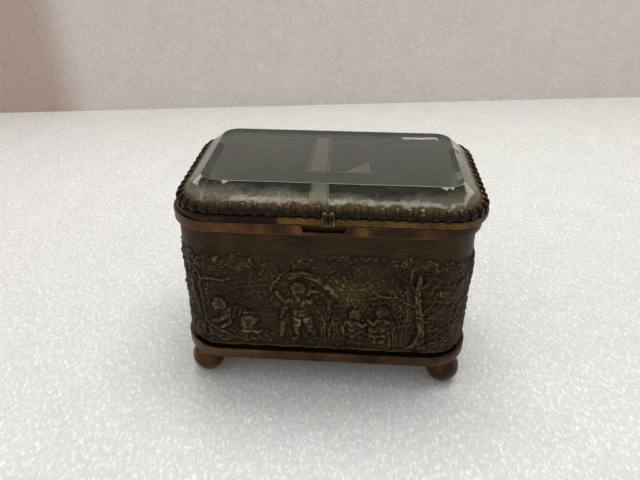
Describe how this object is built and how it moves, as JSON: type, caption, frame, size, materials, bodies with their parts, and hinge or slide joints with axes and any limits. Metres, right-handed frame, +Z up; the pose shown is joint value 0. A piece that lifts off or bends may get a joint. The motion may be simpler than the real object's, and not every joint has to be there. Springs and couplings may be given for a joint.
{
  "type": "jewel casket",
  "caption": "Small embossed brass casket on ball feet, with a hinged lid of thick bevelled glass held in a clawed bezel.",
  "frame": {"origin": "middle of the footprint, on the plane that the four feet stand on", "axes": "+X to the right along the longer side, +Y to the back where the hinge is, +Z up; the front faces -Y"},
  "size_m": [0.0864, 0.0566, 0.065],
  "materials": {
    "aged_brass": "aged, satin",
    "embossed_brass": "stamped and darkened, rubbed on the high points",
    "dark_brass": "darkened",
    "gilt_brass": "worn gilding",
    "screw_brass": "turned",
    "glass": "polished, bevelled",
    "card": "matt",
    "lining": "dark cloth",
    "paper": "aged"
  },
  "bodies": {
    "casket": {"base_plate": "aged_brass", "embossed_wall": "embossed_brass", "rim": "aged_brass", "floor_card": "card", "wall_card": "card", "wall_lining": "lining", "floor_cushion": "lining", "foot_front_left": "aged_brass", "foot_front_right": "aged_brass", "foot_back_left": "aged_brass", "foot_back_right": "aged_brass", "foot_screws": "screw_brass", "hinge_body_leaf": "aged_brass", "hinge_pin": "screw_brass"},
    "lid": {"hinge_lid_leaf": "aged_brass", "lid_ring": "gilt_brass", "claw_bezel": "dark_brass", "bevelled_glass": "glass", "thumb_piece": "gilt_brass", "paper_strip": "paper", "paper_scrap": "paper"}
  },
  "joints": [
    {"name": "lid_hinge", "type": "hinge", "parent": "casket", "child": "lid", "pos_m": [-0.0004, 0.02705, 0.0564], "axis": [-1, 0, 0], "range_deg": [0, 105]}
  ]
}
